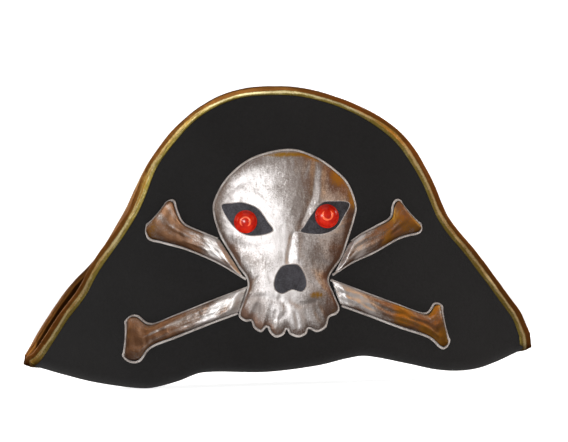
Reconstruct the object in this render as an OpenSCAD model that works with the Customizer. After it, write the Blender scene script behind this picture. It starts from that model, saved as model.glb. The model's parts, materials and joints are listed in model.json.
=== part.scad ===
// Costume bicorn pirate hat: one felt brim turned up at the front and the rear round a soft crown,
// bound in gold lame, with a padded skull and crossbones on the front flap.
// +X runs to the wearer's left tip, -Y is the front, and the origin is the centre of the head opening.

/* [Brim] */
// Width of the hat from tip to tip
hat_w = 440; // [400:5:480]
// Height of the two flaps above the head opening
flap_h = 245; // [220:1:260]
// Distance from the tip line to the front face of a flap at its bottom centre
flap_depth = 109; // [109:1:118]
// Half thickness of a flap where the two flaps meet at a tip
tip_y = 3; // [3:0.5:6]
// How far a flap leans in at its top, as a part of its depth
lean = 0.3; // [0:0.05:0.32]
// Thickness of the felt face
felt_t = 1.5; // [1:0.1:2.5]
// Thickness of the foam inside a flap
foam_t = 4; // [3:0.5:4.5]
// Thickness of the lining on a flap's inner face
lining_t = 1; // [0.8:0.1:1.2]

/* [Binding] */
// Width of the binding on each face
bind_w = 8; // [6:0.5:12]
// Thickness of the binding
bind_t = 0.8; // [0.6:0.1:1]

/* [Crown] */
// Half width of the crown at the head opening
crown_a = 83.5; // [78:0.5:86]
// Half length of the crown at the head opening, front to rear
crown_b = 104.5; // [98:0.5:104.5]
// Height of the crown's side
crown_side_h = 85; // [70:1:95]
// Height of the domed top above the side
crown_dome_h = 27; // [20:1:34]
// Thickness of the crown's felt
crown_t = 2; // [1.5:0.1:2.5]
// Height of the sweatband
band_h = 32; // [25:1:38]
// Thickness of the sweatband
band_t = 1.2; // [0.8:0.1:1.5]

/* [Emblem] */
// Height of the skull from crown to teeth
skull_h = 162; // [150:1:166]
// How far the padded emblem stands off the felt
pad_h = 5.5; // [3:0.5:7]
// Width of the satin stitch round each piece
stitch_w = 2.6; // [2:0.1:3.4]
// Height of the satin stitch
stitch_h = 1.6; // [1:0.1:2]
// Thickness of the lame cover
cover_t = 1; // [0.6:0.1:1.2]
// Thickness of the dark patches of the eyes and the nose
patch_t = 0.8; // [0.5:0.1:1]

/* [Eyes] */
// Radius of the domed plastic eyes
eye_r = 10.4; // [8:0.1:11]
// Height of an eye above its patch
eye_h = 6; // [4:0.5:8]
// Radius of the post behind an eye
post_r = 2.5; // [2:0.1:3]
// Radius of the lock washer behind the flap
washer_r = 9; // [7:0.5:12]

/* [Hidden] */

flap_t = felt_t + foam_t + lining_t; // whole thickness of a flap
bell_half_w = 225 * hat_w / 440; // where the flaps would run out to the tip line
bell_power = 1.3; // how late the flaps curve in towards the tips
tip_gap = 1.9; // inner face of a flap to the tip line, room for the binding
fit = 0.1; // clearance between sewn layers
bind_fit = 0.7; // clearance inside the binding
base_gap = 2.5; // room between the brim's base and the flaps that flex
base_t = 5; // thickness of the brim's base between the flaps
crown_rise = 1.5; // how far the crown's rim stands above the brim's lowest line
columns = 62; // steps across the whole brim
rows = 4; // steps up a flap

// Edges of the brim in the front view, at the nominal size of 440 by 242
front_edge = [
    [-219, 16], [-211, 21.5], [-188, 53], [-170, 75], [-156, 98], [-125, 140], [-105, 181],
    [-74, 216], [-36, 237.5], [5, 242], [43, 236.5], [89, 217.5], [119, 192], [137, 160],
    [151, 126], [177, 93.5], [204, 54], [213, 38.5], [219.5, 22]
];
rear_edge = [
    [-220, 18], [-204, 44], [-182, 74], [-155, 102], [-131, 135], [-107, 182],
    [-74, 218], [-36, 238], [5, 242], [43, 236.5], [90, 217.5], [120, 192], [138, 161],
    [152, 126], [178, 94], [205, 54.5], [214, 38.5], [220, 22]
];
fold_line = [
    [-220, 10.5], [-204, 6], [-187, 1], [-162, -5.5], [-136, -10], [-118, -12], [-107, -11.5],
    [-86, -6.5], [-64, 0.5], [-10, -0.5], [35, 3.5], [63, 9], [78, 10], [114, 2],
    [138, -4], [158, -6], [176, -4.5], [194, 1], [210, 7.5], [220, 11]
];

// The skull's outline, clockwise from the top of the head, with its scalloped row of teeth
skull_line = [
    [16, 191.5], [38.5, 184.5], [55.5, 172.5], [67, 159.5], [73, 141], [71, 129], [65.5, 113],
    [59, 96], [47.5, 79], [51, 65], [55.5, 53], [53, 47.5], [46.5, 44.5], [43.5, 36.5], [35.5, 32.5],
    [28.5, 35.5], [26, 31], [19, 28.5], [12, 31.5], [9.5, 35.5], [6.5, 31], [0, 29], [-5, 33],
    [-7.5, 38], [-12.5, 34], [-18.5, 37.5], [-21, 43.5], [-26, 43.5], [-31.5, 49], [-27.5, 61],
    [-23, 74], [-24.5, 82], [-29.5, 89], [-36.5, 101.5], [-45.5, 118], [-51, 139],
    [-48, 153], [-36, 170.5], [-14.5, 185.5]
];
skull_mid = [10, 105];
left_patch_line = [
    [66, 142.5], [51, 144.5], [42, 143], [33.5, 134], [26.5, 123.5], [24, 118.5],
    [40, 116], [53, 120.5], [61, 131.5]
];
right_patch_line = [
    [-43, 143.5], [-33, 145.5], [-24, 145.5], [-12, 140], [-4, 128.5], [0, 120],
    [-13, 116.5], [-25, 118.5], [-35, 128]
];
nose_line = [
    [6, 89], [13, 91], [20.5, 90], [25.5, 82], [27, 72.5], [22.5, 67], [14.5, 69],
    [6, 66], [0, 70.5], [0.5, 80]
];
left_eye = [45.8, 131.4];
right_eye = [-22.4, 128.6];

// The bones, each by its upper and its lower side from the skull out to the knuckle
bones = [
    [[[-48.5, 117], [-62, 123], [-75.5, 130], [-80.5, 139], [-83.5, 148.5], [-88, 151]],
     [[-27, 80.5], [-48, 94], [-74, 106], [-96, 113.5], [-108, 120.5], [-109.5, 131]]],
    [[[-26, 73], [-56, 62.5], [-86, 51.5], [-107, 44.5], [-119, 49.5], [-130, 47]],
     [[-34.5, 49], [-58, 41], [-85, 31], [-108, 22], [-118, 13.5], [-130.5, 12.5]]],
    [[[68.5, 111.5], [78, 117.5], [90, 123.5], [101.5, 130], [104, 140], [110.5, 146.5]],
     [[53, 81.5], [68, 90.5], [88, 99], [108, 109.5], [126, 115], [131, 121.5]]],
    [[[51.5, 77], [78, 66], [105, 55], [129, 46], [138, 53], [145.5, 54]],
     [[59.5, 52.5], [82, 43.5], [107, 33], [131, 24.5], [144, 17], [151, 20]]]
];
bone_steps = 3; // points between two knots of a bone's side

skull_scale = skull_h / 162;
skull_foot = [10, 29];

// A point of a smooth curve between b and c, with a and d as its neighbours
function blend_point(a, b, c, d, t) =
    0.5 * (2 * b + (c - a) * t + (2 * a - 5 * b + 4 * c - d) * t * t + (3 * b - a - 3 * c + d) * t * t * t);

// A closed and an open smooth curve through the points
function smooth_loop(p, steps) = let (n = len(p)) [
    for (i = [0 : n - 1], s = [0 : steps - 1])
        blend_point(p[(i + n - 1) % n], p[i], p[(i + 1) % n], p[(i + 2) % n], s / steps)
];
function smooth_path(p, steps) = let (n = len(p)) [
    for (i = [0 : n - 2], s = [0 : steps - (i < n - 2 ? 1 : 0)])
        blend_point(p[max(i - 1, 0)], p[i], p[i + 1], p[min(i + 2, n - 1)], s / steps)
];

// Height of an open curve at x, smooth through its points
function span_of(k, x, i = 0) = i >= len(k) - 2 || x < k[i + 1].x ? i : span_of(k, x, i + 1);
function slope_at(k, i) = let (a = k[max(i - 1, 0)], b = k[min(i + 1, len(k) - 1)]) (b.y - a.y) / (b.x - a.x);
function height_at(k, x) =
    let (i = span_of(k, x), a = k[i], b = k[i + 1], w = b.x - a.x, t = (x - a.x) / w)
    (1 + 2 * t) * (1 - t) * (1 - t) * a.y + t * (1 - t) * (1 - t) * w * slope_at(k, i)
    + t * t * (3 - 2 * t) * b.y - t * t * (1 - t) * w * slope_at(k, i + 1);

function sized(k) = [for (p = k) [p.x * hat_w / 440, p.y * flap_h / 242]];
function emblem(line) = [for (p = line) (p - skull_foot) * skull_scale + skull_foot];

// A flap's faces: its front face, and a surface that lies t mm behind it, thinner near the tips
function bell(x) = pow(max(0, 1 - pow(x / bell_half_w, 2)), bell_power);
function face_y(x, z) = -(tip_y + flap_depth * bell(x) * (1 - lean * z / flap_h));
function pinch(x, z) = min(1, (-face_y(x, z) - tip_gap) / flap_t);
function layer_y(x, z, t) = face_y(x, z) + t * (t > 0 ? pinch(x, z) : 1);
function above(p, h) = [p.x, layer_y(p.x, p.y, -h), p.y]; // a point h mm in front of the front face

// The path of a flap's bound edge, from one tip to the other
function edge_path(k) = let (e = sized(k), w = e[len(e) - 1].x - e[0].x)
    [for (i = [0 : columns]) let (x = e[0].x + w * i / columns) [x, height_at(e, x)]];
function side_of(a, b) = let (d = (b - a) / norm(b - a)) [-d.y, d.x]; // unit vector to the left of a to b
function left_of(p, i) = side_of(p[max(i - 1, 0)], p[min(i + 1, len(p) - 1)]);
function moved_right(p, by) = [for (i = [0 : len(p) - 1]) p[i] - by * left_of(p, i)];

// Faces between loops of m points, as triangles, with a strip across the first and the last loop
function strip_cap(m, o) = [for (j = [0 : m / 2 - 2]) each
    [[o + j, o + m - 2 - j, o + j + 1], [o + j, o + m - 1 - j, o + m - 2 - j]]];
function turned(faces) = [for (f = faces) [f[2], f[1], f[0]]];
function skin_faces(n, m, closed) = concat(
    [for (i = [0 : n - (closed ? 1 : 2)], j = [0 : m - 1])
        let (a = i * m, b = ((i + 1) % n) * m, k = (j + 1) % m)
        each j < m / 2 ? [[a + j, b + k, a + k], [a + j, b + j, b + k]]
            : [[a + j, b + j, a + k], [a + k, b + j, b + k]]],
    closed ? [] : concat(turned(strip_cap(m, 0)), strip_cap(m, (n - 1) * m))
);
function six_volumes(p, faces, i = 0, sum = 0) = i == len(faces) ? sum
    : six_volumes(p, faces, i + 1, sum + p[faces[i][0]] * cross(p[faces[i][1]], p[faces[i][2]]));
module skin(loops, closed = false) {
    points = [for (l = loops) each l];
    faces = skin_faces(len(loops), len(loops[0]), closed);
    polyhedron(points, six_volumes(points, faces) > 0 ? turned(faces) : faces, convexity = 8);
}

// One layer of a flap between the depths t0 and t1, with its top edge inside the binding
module flap_layer(k, t0, t1) {
    top = moved_right(edge_path(k), 2);
    fold = sized(fold_line);
    skin([for (p = top)
        let (low = min(height_at(fold, p.x), p.y - 1), step = (p.y - low) / rows) concat(
            [for (i = [0 : rows]) let (z = low + i * step) [p.x, layer_y(p.x, z, t0), z]],
            [for (i = [rows : -1 : 0]) let (z = low + i * step) [p.x, layer_y(p.x, z, t1), z]]
        )]);
}

// The binding: a U folded over the edge, tip to tip
module binding(k) {
    e = edge_path(k);
    path = concat([[e[0].x + 1, e[0].y - 6]], e, [[e[columns].x - 1, e[columns].y - 10]]);
    inner = moved_right(path, bind_w);
    crest = moved_right(path, 1);
    skin([for (i = [0 : len(path) - 1])
        let (p = path[i], q = inner[i], c = crest[i]) [
            [q.x, layer_y(q.x, q.y, 0) - bind_fit - bind_t, q.y],
            [p.x, layer_y(p.x, p.y, 0) - bind_fit - bind_t, p.y],
            [p.x, layer_y(p.x, p.y, flap_t) + bind_fit + bind_t, p.y],
            [q.x, layer_y(q.x, q.y, flap_t) + bind_fit + bind_t, q.y],
            [q.x, layer_y(q.x, q.y, flap_t) + bind_fit, q.y],
            [c.x, layer_y(c.x, c.y, flap_t) + bind_fit, c.y],
            [c.x, layer_y(c.x, c.y, 0) - bind_fit, c.y],
            [q.x, layer_y(q.x, q.y, 0) - bind_fit, q.y]
        ]]);
}

// How high the padding swells: 0 at a piece's edge (s = 1) and 1 over most of its middle
function swell(s) = 1 - pow(min(1, abs(s)), 5);
function cover_h(s, full) = cover_t + (full - cover_t) * swell(s); // top of the cover
function lining_h(s, full) = fit + (full - cover_t) * swell(s); // under the cover

// The height of the skull's cover at any point of the emblem
function reach(line, c, d) = max([for (i = [0 : len(line) - 1])
    let (p = line[i], e = line[(i + 1) % len(line)] - p, k = cross(d, e),
         t = k == 0 ? 0 : cross(p - c, e) / k, u = k == 0 ? -1 : cross(p - c, d) / k)
    u >= 0 && u <= 1 ? t : 0]);
skull_loop = smooth_loop(emblem(skull_line), 2);
skull_centre = emblem([skull_mid])[0];
function skull_top(p) = let (d = p - skull_centre, s = norm(d) / reach(skull_loop, skull_centre, d / norm(d)))
    cover_h(s, pad_h);

// Rings of a piece that swells round a centre, from its edge to a small last ring
last_ring = 0.06;
function ring_sizes(n, edge) = [for (i = [0 : n]) last_ring + (edge - last_ring) * pow(i / n, 0.75)];
function shrunk(line, c, s) = [for (p = line) c + (p - c) * s];
function trimmed(line, by) = let (n = len(line))
    [for (i = [0 : n - 1]) line[i] - by * side_of(line[(i + n - 1) % n], line[(i + 1) % n])];

stitch_gap = 0.25; // under the satin stitch

// The satin stitch along a line: a flat band on the felt
module stitch_band(line, closed) {
    n = len(line);
    skin([for (i = [0 : n - 1])
        let (
            side = closed ? side_of(line[(i + n - 1) % n], line[(i + 1) % n]) : left_of(line, i),
            a = line[i] + side * stitch_w / 2, b = line[i] - side * stitch_w / 2
        ) [above(a, stitch_gap), above(a, stitch_h), above(b, stitch_h), above(b, stitch_gap)]
    ], closed);
}

// Places and turns what sits on an eye's axis, which stands square to the flap
function yaw_at(p) = atan2(face_y(p.x + 1, p.y) - face_y(p.x - 1, p.y), 2);
function pitch_at(p) = atan2(face_y(p.x, p.y + 1) - face_y(p.x, p.y - 1), 2);
module at_eye(eye) {
    p = emblem([eye])[0];
    translate([p.x, face_y(p.x, p.y), p.y]) rotate([90 - pitch_at(p), 0, yaw_at(p)]) children();
}
module eye_holes() {
    for (eye = [left_eye, right_eye]) at_eye(eye) cylinder(h = 60, r = post_r + fit, center = true, $fn = 48);
}

// An oval wall round the head: loops of its section, whose foot follows the brim's fold
ring_steps = 48;
function base_z(x) = height_at(sized(fold_line), x) + crown_rise;
module oval_wall(levels, wall) {
    skin([for (i = [0 : ring_steps - 1]) let (c = cos(360 * i / ring_steps), s = sin(360 * i / ring_steps)) concat(
        [for (l = levels) [l[0] * c, l[1] * s, l[2] + (l[2] < 1 ? base_z(l[0] * c) : 0)]],
        [for (j = [len(levels) - 1 : -1 : 0]) let (l = levels[j])
            [(l[0] - wall) * c, (l[1] - wall) * s, l[2] + (l[2] < 1 ? base_z(l[0] * c) : 0)]]
    )], closed = true);
}
waist_h = crown_side_h * 0.45;
waist_a = 0.985; // the crown's side narrows to this part of its width by the waist
waist_b = 0.955; // and to this part of its length
top_in = 0.83; // and to this part of both by its top
crown_levels = [
    [crown_a, crown_b, 0],
    [crown_a * waist_a, crown_b * waist_b, waist_h],
    [crown_a * top_in, crown_b * top_in, crown_side_h]
];
module crown_side() {
    color([0.1, 0.1, 0.1]) oval_wall(crown_levels, crown_t);
}
module crown_top() {
    a = crown_a * top_in;
    b = crown_b * top_in;
    dome_steps = 5;
    pole = 0.05; // the last ring, as a part of the oval
    up = [for (j = [0 : dome_steps]) 90 * j / dome_steps];
    down = [for (j = [dome_steps : -1 : 0]) 90 * j / dome_steps];
    color([0.1, 0.1, 0.1]) skin(concat(
        [for (t = down) dome_ring(a - crown_t, b - crown_t, max(cos(t), pole), (crown_dome_h - crown_t) * sin(t))],
        [for (t = up) dome_ring(a, b, max(cos(t), pole), crown_dome_h * sin(t))]
    ));
}
function dome_ring(a, b, w, h) = [for (i = [0 : ring_steps - 1])
    [a * w * cos(360 * i / ring_steps), b * w * sin(360 * i / ring_steps), crown_side_h + fit + h]];
module sweatband() {
    a = crown_a - crown_t - 0.3;
    b = crown_b - crown_t - 0.3;
    rise = band_h / waist_h;
    color([0.08, 0.08, 0.08]) oval_wall([
        [a, b, 0.3],
        [a * (1 - (1 - waist_a) * rise), b * (1 - (1 - waist_b) * rise), band_h]
    ], band_t);
}
module crown_seam_tape() {
    a = crown_a - 0.4;
    b = crown_b - 0.4;
    color([0.07, 0.07, 0.07]) oval_wall([[a, b, -1.5], [a, b, -0.4]], 2.6);
}

// The part of the brim that stays down: the trough between the two flaps on one side of the crown
module brim_base(side) {
    fold = sized(fold_line);
    far = 206 * hat_w / 440;
    steps = 22;
    color([0.12, 0.12, 0.12]) difference() {
        skin([for (i = [0 : steps])
            let (
                x = side * (side > 0 ? 24 + (far - 24) * i / steps : far - (far - 24) * i / steps),
                z = height_at(fold, x),
                w = max(1, -layer_y(x, z, flap_t) - base_gap)
            )
            [[x, -w, z + 0.4], [x, -w, z + base_t], [x, w, z + base_t], [x, w, z + 0.4]]
        ]);
        linear_extrude(80, center = true) polygon([for (i = [0 : 95])
            [(crown_a + 0.3) * cos(360 * i / 96), (crown_b + 0.3) * sin(360 * i / 96)]]);
    }
}

// Flaps
module front_flap_felt() { color([0.12, 0.12, 0.12]) difference() { flap_layer(front_edge, 0, felt_t); eye_holes(); } }
module front_flap_foam() {
    color([0.25, 0.25, 0.25]) difference() { flap_layer(front_edge, felt_t + fit, felt_t + foam_t); eye_holes(); }
}
module front_flap_lining() {
    color([0.1, 0.1, 0.1]) difference() { flap_layer(front_edge, felt_t + foam_t + fit, flap_t); eye_holes(); }
}
module front_binding() { color([0.75, 0.6, 0.2]) binding(front_edge); }
module rear_flap_felt() { color([0.12, 0.12, 0.12]) mirror([0, 1, 0]) flap_layer(rear_edge, 0, felt_t); }
module rear_flap_foam() { color([0.25, 0.25, 0.25]) mirror([0, 1, 0]) flap_layer(rear_edge, felt_t + fit, felt_t + foam_t); }
module rear_flap_lining() { color([0.1, 0.1, 0.1]) mirror([0, 1, 0]) flap_layer(rear_edge, felt_t + foam_t + fit, flap_t); }
module rear_binding() { color([0.7, 0.55, 0.18]) mirror([0, 1, 0]) binding(rear_edge); }

// Emblem
inset = stitch_w / 2 + 0.2; // the cover lies inside the satin stitch
pad_gap = 0.35; // under the padding
module skull_padding() {
    line = trimmed(skull_loop, inset + 1);
    sizes = ring_sizes(5, 0.97);
    color([0.9, 0.9, 0.88]) difference() {
        skin(concat(
            [for (s = sizes) [for (p = shrunk(line, skull_centre, s)) above(p, pad_gap)]],
            [for (s = turned_list(sizes)) [for (p = shrunk(line, skull_centre, s))
                above(p, max(pad_gap + 0.2, lining_h(s, pad_h) - 0.5))]]
        ));
        eye_holes();
    }
}
module skull_cover() {
    line = trimmed(skull_loop, inset);
    sizes = ring_sizes(5, 1);
    color([0.75, 0.72, 0.68]) difference() {
        skin(concat(
            [for (s = sizes) [for (p = shrunk(line, skull_centre, s)) above(p, lining_h(s, pad_h))]],
            [for (s = turned_list(sizes)) [for (p = shrunk(line, skull_centre, s)) above(p, cover_h(s, pad_h))]]
        ));
        eye_holes();
    }
}
function turned_list(l) = [for (i = [len(l) - 1 : -1 : 0]) l[i]];
module skull_border() {
    color([0.8, 0.78, 0.75]) stitch_band(skull_loop, true);
}

// A bone is a row of sections from its upper to its lower side, inside the satin stitch
bone_h = pad_h - 1;
across = [for (j = [0 : 6]) j / 6];
function bone_sides(i) = [for (side = bones[i]) smooth_path(emblem(side), bone_steps)];
function bone_row(i, trim) = let (
        sides = bone_sides(i),
        n = len(sides[0]),
        last = n - 1
    ) [for (k = [0 : last])
        let (
            a = sides[0][k], b = sides[1][k],
            along = k == 0 ? trim : k == last ? -1.5 * trim : k == last - 1 ? -0.5 * trim : 0,
            d = (b - a) / norm(b - a),
            forward = (sides[0][min(k + 1, last)] + sides[1][min(k + 1, last)]
                - sides[0][max(k - 1, 0)] - sides[1][max(k - 1, 0)]),
            f = forward / norm(forward)
        ) [a + d * trim + f * along, b - d * trim + f * along]];
module bone_skin(i, trim, low, high) {
    row = bone_row(i, trim);
    n = len(row);
    skin([for (k = [0 : n - 1])
        let (end = swell(k / (n - 1) * 0.93)) concat(
            [for (t = across) above(row[k][0] * (1 - t) + row[k][1] * t, low(2 * t - 1, end))],
            [for (t = turned_list(across)) above(row[k][0] * (1 - t) + row[k][1] * t, high(2 * t - 1, end))]
        )]);
}
bone_inset = inset + 1.5; // a bone's cover narrows more, because its border turns sharply at the knuckle
module bone_padding(i) {
    color([0.9, 0.9, 0.88]) bone_skin(i, bone_inset + 1,
        function(s, end) 0.2,
        function(s, end) 0.45 + max(0, (bone_h - cover_t) * swell(s * 0.94) * end - 0.5));
}
module bone_cover(i) {
    color([0.75, 0.72, 0.68]) bone_skin(i, bone_inset,
        function(s, end) 0.65 + (bone_h - cover_t) * swell(s) * end,
        function(s, end) 0.65 + cover_t + (bone_h - cover_t) * swell(s) * end);
}
module bone_border(i) {
    sides = bone_sides(i);
    a = sides[0][len(sides[0]) - 1];
    b = sides[1][len(sides[1]) - 1];
    knuckle = [for (t = [0.25 : 0.25 : 0.75]) a * (1 - t) + b * t];
    color([0.8, 0.78, 0.75]) stitch_band(concat(sides[0], knuckle, turned_list(sides[1])), false);
}

// Dark patches on the skull's cover: an eye's patch is open round the slanted post, and the nose's is whole
module eye_patch(line, eye) {
    c = emblem([eye])[0];
    steps = [0 : 0.25 : 1];
    color([0.18, 0.18, 0.2]) skin([for (p = smooth_loop(emblem(line), 4))
        let (q = c + (p - c) / norm(p - c) * (post_r + 1.5)) concat(
            [for (t = steps) let (r = p + (q - p) * t) above(r, skull_top(r) + fit)],
            [for (t = steps) let (r = q + (p - q) * t) above(r, skull_top(r) + patch_t)]
        )], closed = true);
}
module nose_patch() {
    loop = smooth_loop(emblem(nose_line), 4);
    c = emblem([[13, 79]])[0];
    sizes = ring_sizes(3, 1);
    color([0.18, 0.18, 0.2]) skin(concat(
        [for (s = sizes) [for (p = shrunk(loop, c, s)) above(p, skull_top(p) + fit)]],
        [for (s = turned_list(sizes)) [for (p = shrunk(loop, c, s)) above(p, skull_top(p) + patch_t)]]
    ));
}

// Eyes: a domed face on a flange, with a post through the emblem and the flap, and its lock washer
flange_h = 1.2;
module eye_dome(eye) {
    seat = skull_top(emblem([eye])[0]) + patch_t + 1.3;
    rise = eye_h - flange_h;
    ball = (pow(eye_r, 2) + pow(rise, 2)) / (2 * rise);
    color([0.7, 0.08, 0.03]) at_eye(eye) {
        translate([0, 0, seat]) cylinder(h = flange_h, r = eye_r, $fn = 96);
        intersection() {
            translate([0, 0, seat + eye_h - ball]) sphere(ball, $fn = 96);
            translate([0, 0, seat + flange_h]) cylinder(h = eye_h, r = eye_r, $fn = 96);
        }
        translate([0, 0, -flap_t - 4]) cylinder(h = flap_t + 4 + seat + fit, r = post_r, $fn = 48);
    }
}
module eye_washer(eye) {
    color([0.1, 0.1, 0.1]) at_eye(eye) translate([0, 0, -flap_t - 2.6]) difference() {
        union() {
            cylinder(h = 1.2, r = washer_r, $fn = 64);
            translate([0, 0, -1]) cylinder(h = 1.5, r = post_r + 1.6, $fn = 48);
        }
        translate([0, 0, -2]) cylinder(h = 6, r = post_r + 0.02, $fn = 48);
    }
}

crown_side();
crown_top();
sweatband();
crown_seam_tape();
brim_base(1);  // brim_base_left
brim_base(-1);  // brim_base_right
front_flap_felt();
front_flap_foam();
front_flap_lining();
front_binding();
rear_flap_felt();
rear_flap_foam();
rear_flap_lining();
rear_binding();
skull_padding();
skull_cover();
skull_border();
for (i = [0 : 3]) bone_padding(i);
for (i = [0 : 3]) bone_cover(i);
for (i = [0 : 3]) bone_border(i);
eye_patch(left_patch_line, left_eye);  // eye_patch_left
eye_patch(right_patch_line, right_eye);  // eye_patch_right
nose_patch();
eye_dome(left_eye);  // eye_dome_left
eye_dome(right_eye);  // eye_dome_right
eye_washer(left_eye);  // eye_washer_left
eye_washer(right_eye);  // eye_washer_right
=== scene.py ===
import json
import math

import bmesh
import bpy
from mathutils import Matrix, Vector, noise

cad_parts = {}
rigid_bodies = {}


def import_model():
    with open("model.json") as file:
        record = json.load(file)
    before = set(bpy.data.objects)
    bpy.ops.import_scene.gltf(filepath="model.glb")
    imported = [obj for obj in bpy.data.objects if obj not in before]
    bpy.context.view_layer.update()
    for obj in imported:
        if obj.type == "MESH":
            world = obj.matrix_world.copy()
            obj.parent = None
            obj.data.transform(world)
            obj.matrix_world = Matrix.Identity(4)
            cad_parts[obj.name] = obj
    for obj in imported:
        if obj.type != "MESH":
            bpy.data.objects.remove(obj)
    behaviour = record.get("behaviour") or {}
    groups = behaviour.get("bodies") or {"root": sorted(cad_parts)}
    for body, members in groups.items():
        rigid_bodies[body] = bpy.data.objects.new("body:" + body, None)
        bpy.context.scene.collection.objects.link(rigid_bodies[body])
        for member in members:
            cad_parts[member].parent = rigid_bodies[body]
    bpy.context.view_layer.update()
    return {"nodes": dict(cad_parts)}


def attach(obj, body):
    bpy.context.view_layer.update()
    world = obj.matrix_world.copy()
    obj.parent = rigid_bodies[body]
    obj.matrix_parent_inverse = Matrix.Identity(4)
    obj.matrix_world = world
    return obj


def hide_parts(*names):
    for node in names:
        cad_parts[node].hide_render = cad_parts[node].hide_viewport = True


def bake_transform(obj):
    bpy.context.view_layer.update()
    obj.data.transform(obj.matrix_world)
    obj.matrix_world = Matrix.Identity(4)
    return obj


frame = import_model()
print("frame loaded:", len(frame["nodes"]), "solids")

mm = 0.001  # the shape functions below work in millimetres

# Brim: one felt sheet turned up at the front and the rear, mirrored in the tip line
brim = dict(
    height=245, drawnHeight=242, tipDepth=3, bellDepth=109, bellHalf=225, bellPower=1.3, lean=0.3,
    feltThick=1.5, foamThick=4.0, liningThick=1.0, tipGap=1.6, foldRadius=9,
    waveHeight=1.3, waveLength=95,
)
frontEdge = [
    (-219, 16), (-211, 21.5), (-188, 53), (-170, 75), (-156, 98), (-125, 140), (-105, 181),
    (-74, 216), (-36, 237.5), (5, 242), (43, 236.5), (89, 217.5), (119, 193.5), (138, 161.5),
    (152, 127.5), (177, 94.5), (205, 55), (215, 40), (221.5, 23),
]
rearEdge = [
    (-220, 18), (-204, 44), (-182, 74), (-155, 102), (-131, 139), (-107, 183), (-74, 218),
    (-36, 238), (5, 242), (43, 236.5), (90, 217.5), (120, 193.5), (139, 162), (153, 127.5),
    (178, 94), (205, 54.5), (214, 38.5), (220, 22),
]
foldLine = [
    (-220, 10.5), (-204, 6), (-187, 1), (-162, -5.5), (-136, -10), (-118, -12), (-107, -11.5),
    (-86, -6.5), (-64, 0.5), (-10, -0.5), (35, 3.5), (63, 9), (78, 10), (114, 2),
    (138, -4), (158, -6), (176, -4.5), (194, 1), (210, 7.5), (220, 11),
]
frontEdge, rearEdge, foldLine = ([(x, z * brim["height"] / brim["drawnHeight"]) for x, z in line]
                                 for line in (frontEdge, rearEdge, foldLine))
front, rear = -1, 1  # the side of the tip line that a flap stands on
fullThick = brim["feltThick"] + brim["foamThick"] + brim["liningThick"]


def heightAt(knots, x):
    # height of an open curve at x, smooth through its knots
    i = 0
    while i < len(knots) - 2 and x >= knots[i + 1][0]:
        i += 1

    def slope(k):
        a, b = knots[max(k - 1, 0)], knots[min(k + 1, len(knots) - 1)]
        return (b[1] - a[1]) / (b[0] - a[0])

    a, b = knots[i], knots[i + 1]
    w = b[0] - a[0]
    t = min(max((x - a[0]) / w, -0.2), 1.2)
    return ((1 + 2 * t) * (1 - t) ** 2 * a[1] + t * (1 - t) ** 2 * w * slope(i)
            + t * t * (3 - 2 * t) * b[1] - t * t * (1 - t) * w * slope(i + 1))


def spanAt(rising, want):
    # which span of a rising list holds a value, and how far along it
    low, high = 0, len(rising) - 1
    while high - low > 1:
        mid = (low + high) // 2
        if rising[mid] <= want:
            low = mid
        else:
            high = mid
    return low, (want - rising[low]) / max(rising[high] - rising[low], 1e-9)


def ringAngle(share):
    # angle round a closed ring, with its last point exactly on its first
    return 2 * math.pi * share if share < 0.9999 else 0.0


def outAndBack(v):
    # a closed layer's section: along its outer face and back along its inner one
    if v > 0.999:
        return 0.0, True
    return (v * 2, True) if v <= 0.5 else (2 - v * 2, False)


def smoothStep(a, b, x):
    t = min(max((x - a) / (b - a), 0), 1)
    return t * t * (3 - 2 * t)


def bell(x):
    return max(0.0, 1 - (x / brim["bellHalf"]) ** 2) ** brim["bellPower"]


def wave(x, z, side):
    calm = smoothStep(225, 150, abs(x))
    size = brim["waveLength"]
    slow = noise.noise(Vector((x / size, z / size + 3.1, 5.0 * side)))
    quick = noise.noise(Vector((x / 34, z / 40, 9.0 + side)))
    return calm * (brim["waveHeight"] * slow + 0.35 * quick)


def depthAt(x, z, side):
    # distance of a flap's outer face from the tip line
    return (brim["tipDepth"] + brim["bellDepth"] * bell(x) * (1 - brim["lean"] * z / brim["height"])
            + wave(x, z, side))


def foldAt(x):
    # the brim's profile at x: lowest height, flat part, radius of the turn
    z = heightAt(foldLine, x)
    d = brim["tipDepth"] + brim["bellDepth"] * bell(x)
    r = min(brim["foldRadius"], 0.72 * d)
    return z, d, r


def runTo(x, z):
    # length of the profile from the tip line to the height z on the flap
    low, d, r = foldAt(x)
    if z >= low + r:
        return d - r + r * math.pi / 2 + z - low - r
    return d - r + r * math.acos(min(max(1 - (z - low) / r, -1), 1))


def brimPoint(x, run, side):
    low, d, r = foldAt(x)
    turn = r * math.pi / 2
    if run < d - r:
        out, z = run, low
    elif run < d - r + turn:
        a = (run - d + r) / r
        out, z = d - r + r * math.sin(a), low + r * (1 - math.cos(a))
    else:
        out, z = d, low + r + run - d + r - turn
    return Vector((x, side * out / d * depthAt(x, z, side), z))


def brimNormal(x, run, side):
    e = 0.6
    across = brimPoint(x + e, run, side) - brimPoint(x - e, run, side)
    up = brimPoint(x, run + e, side) - brimPoint(x, max(run - e, 0), side)
    return (across.cross(up) * -side).normalized()


def pinchAt(x, z, side):
    return min(1, (depthAt(x, z, side) - brim["tipGap"]) / fullThick)


def onFlap(x, z, out, side=front):
    # a point that stands off a flap's outer face
    y = depthAt(x, z, side)
    n = Vector((depthAt(x - 0.8, z, side) - depthAt(x + 0.8, z, side), 1.6,
                depthAt(x, z - 0.8, side) - depthAt(x, z + 0.8, side))).normalized()
    return Vector((x, side * y, z)) + Vector((n.x, side * n.y, n.z)) * out


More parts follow.
